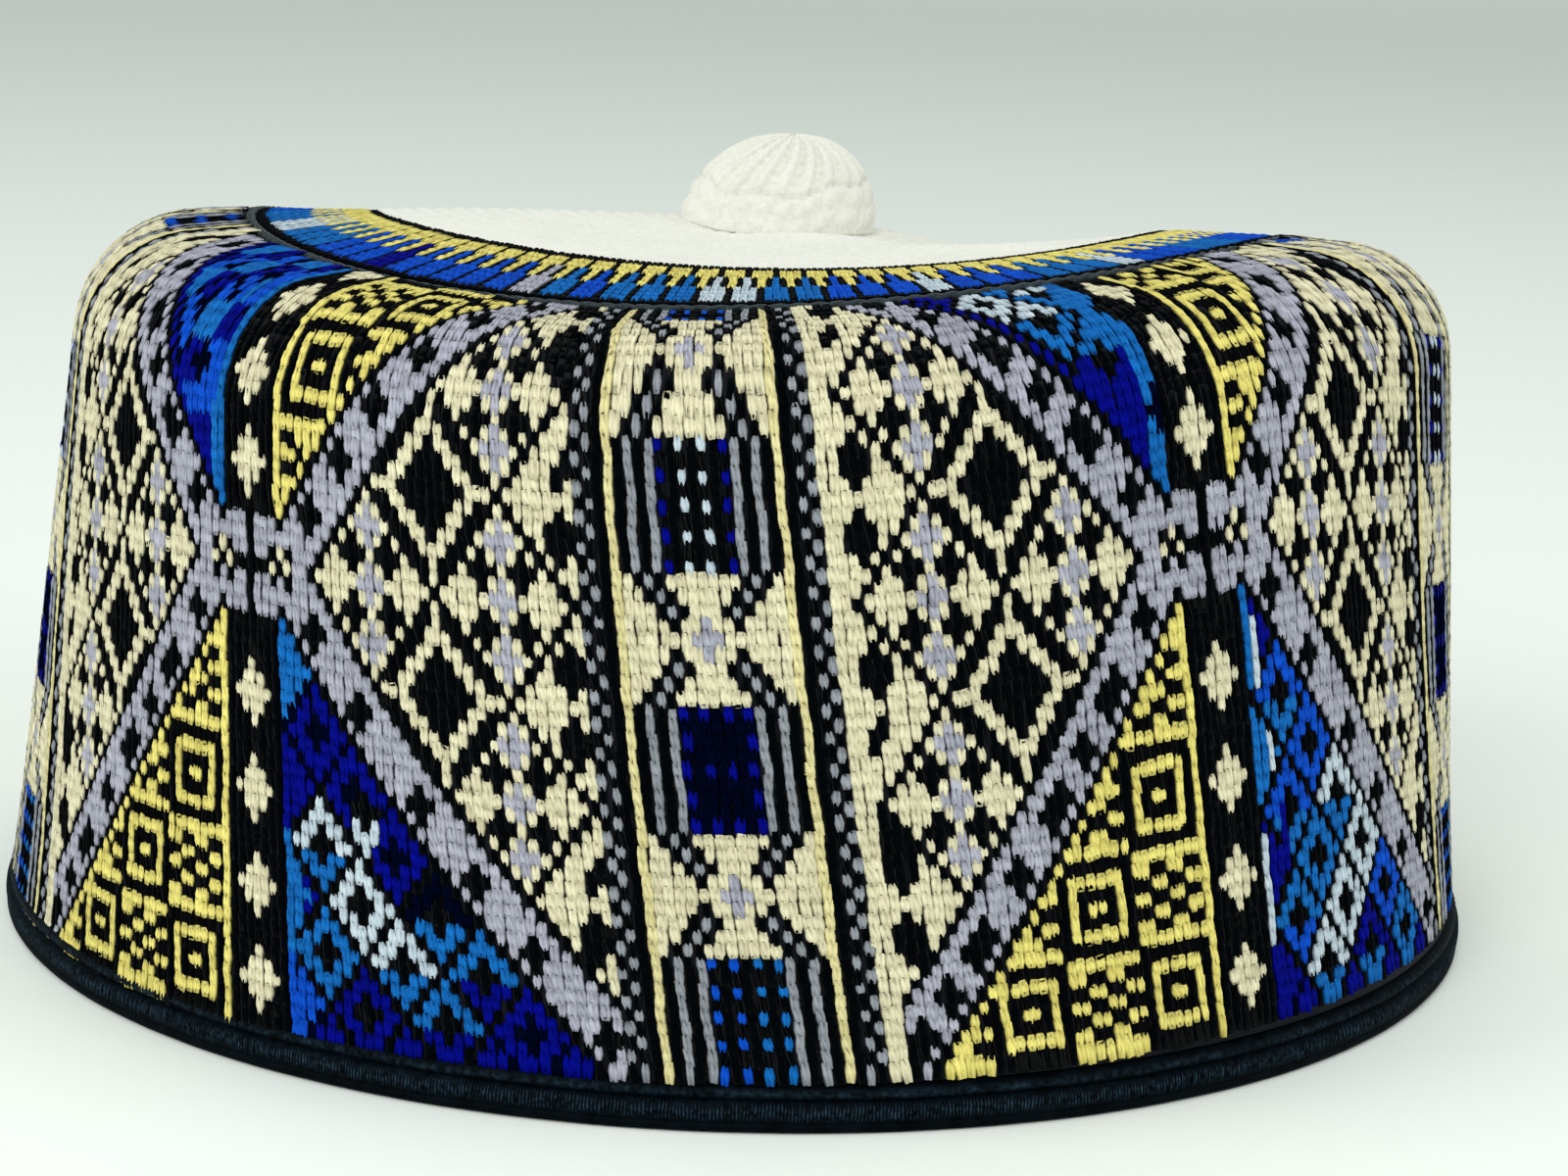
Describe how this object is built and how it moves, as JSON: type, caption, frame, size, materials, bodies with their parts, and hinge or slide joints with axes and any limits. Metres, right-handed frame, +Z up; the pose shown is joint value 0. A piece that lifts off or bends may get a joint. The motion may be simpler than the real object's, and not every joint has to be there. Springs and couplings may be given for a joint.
{
  "type": "hausa cap",
  "caption": "Round embroidered hausa cap with a tall cloth wall, rounded shoulder, bound hem, corded seam, narrow top band, white crochet crown centre and top knot.",
  "frame": {"origin": "middle of the rim on the surface that the cap stands on", "axes": "+Z up, -Y towards the front of the cap as pictured, +X towards the right of the picture"},
  "size_m": [0.1842, 0.1842, 0.0976],
  "materials": {
    "side_wall": "black cotton ground covered with cream, grey, yellow and blue chain stitches",
    "rim_binding": "blue-black satin-stitched hem",
    "crown_cord": "black couched cord",
    "top_band": "blue, grey and yellow stitches",
    "crown_centre": "white crochet",
    "top_knot": "white crochet"
  },
  "bodies": {
    "root": {"side_wall": "side_wall", "rim_binding": "rim_binding", "crown_cord": "crown_cord", "top_band": "top_band", "crown_centre": "crown_centre", "top_knot": "top_knot"}
  },
  "joints": []
}
